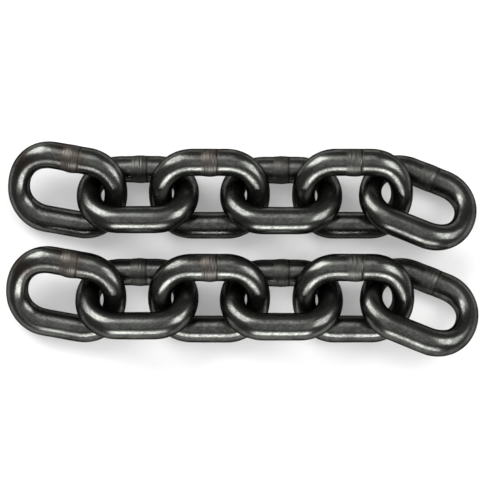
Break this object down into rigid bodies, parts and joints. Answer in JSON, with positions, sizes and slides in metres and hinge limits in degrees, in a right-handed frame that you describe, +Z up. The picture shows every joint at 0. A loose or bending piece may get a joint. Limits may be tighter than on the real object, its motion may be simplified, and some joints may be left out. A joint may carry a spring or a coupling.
{
  "type": "heap of short-link chain",
  "caption": "Loose lengths of short-link welded steel chain lying side by side as a small heap, each link leaning on the next, for lifting, lashing and hanging loads.",
  "frame": {"origin": "middle of the heap's footprint, on the floor that it lies on", "axes": "+X along the lengths, from the end swung to the back to the end swung to the front; +Y across to the back length; +Z up"},
  "size_m": [0.24, 0.109, 0.0338],
  "materials": {
    "dark_steel": "dark burnished steel with a film of oil, grey and rougher at the welds"
  },
  "bodies": {
    "left_end_links": {"back_length_link_1": "dark_steel", "front_length_link_1": "dark_steel"},
    "back_link_2": {"back_length_link_2": "dark_steel"},
    "back_link_3": {"back_length_link_3": "dark_steel"},
    "back_link_4": {"back_length_link_4": "dark_steel"},
    "back_link_5": {"back_length_link_5": "dark_steel"},
    "back_link_6": {"back_length_link_6": "dark_steel"},
    "front_link_2": {"front_length_link_2": "dark_steel"},
    "front_link_3": {"front_length_link_3": "dark_steel"},
    "front_link_4": {"front_length_link_4": "dark_steel"},
    "front_link_5": {"front_length_link_5": "dark_steel"},
    "front_link_6": {"front_length_link_6": "dark_steel"}
  },
  "joints": [
    {"name": "back_lift_1", "type": "hinge", "parent": "left_end_links", "child": "back_link_2", "pos_m": [-0.07161, 0.02883, 0.01268], "axis": [-0.1771, -0.9842, 0], "range_deg": [0, 16]},
    {"name": "back_lift_2", "type": "hinge", "parent": "back_link_2", "child": "back_link_3", "pos_m": [-0.03512, 0.02883, 0.01268], "axis": [0, -1, 0], "range_deg": [0, 16]},
    {"name": "back_lift_3", "type": "hinge", "parent": "back_link_3", "child": "back_link_4", "pos_m": [0.00138, 0.02883, 0.01268], "axis": [0, -1, 0], "range_deg": [0, 16]},
    {"name": "back_lift_4", "type": "hinge", "parent": "back_link_4", "child": "back_link_5", "pos_m": [0.03789, 0.02883, 0.01268], "axis": [0, -1, 0], "range_deg": [0, 16]},
    {"name": "back_lift_5", "type": "hinge", "parent": "back_link_5", "child": "back_link_6", "pos_m": [0.07439, 0.02883, 0.01268], "axis": [-0.3746, -0.9272, 0], "range_deg": [0, 16]},
    {"name": "front_lift_1", "type": "hinge", "parent": "left_end_links", "child": "front_link_2", "pos_m": [-0.07161, -0.02467, 0.01268], "axis": [-0.1771, -0.9842, 0], "range_deg": [0, 16]},
    {"name": "front_lift_2", "type": "hinge", "parent": "front_link_2", "child": "front_link_3", "pos_m": [-0.03512, -0.02467, 0.01268], "axis": [0, -1, 0], "range_deg": [0, 16]},
    {"name": "front_lift_3", "type": "hinge", "parent": "front_link_3", "child": "front_link_4", "pos_m": [0.00138, -0.02467, 0.01268], "axis": [0, -1, 0], "range_deg": [0, 16]},
    {"name": "front_lift_4", "type": "hinge", "parent": "front_link_4", "child": "front_link_5", "pos_m": [0.03789, -0.02467, 0.01268], "axis": [0, -1, 0], "range_deg": [0, 16]},
    {"name": "front_lift_5", "type": "hinge", "parent": "front_link_5", "child": "front_link_6", "pos_m": [0.07439, -0.02467, 0.01268], "axis": [-0.3746, -0.9272, 0], "range_deg": [0, 16]}
  ]
}
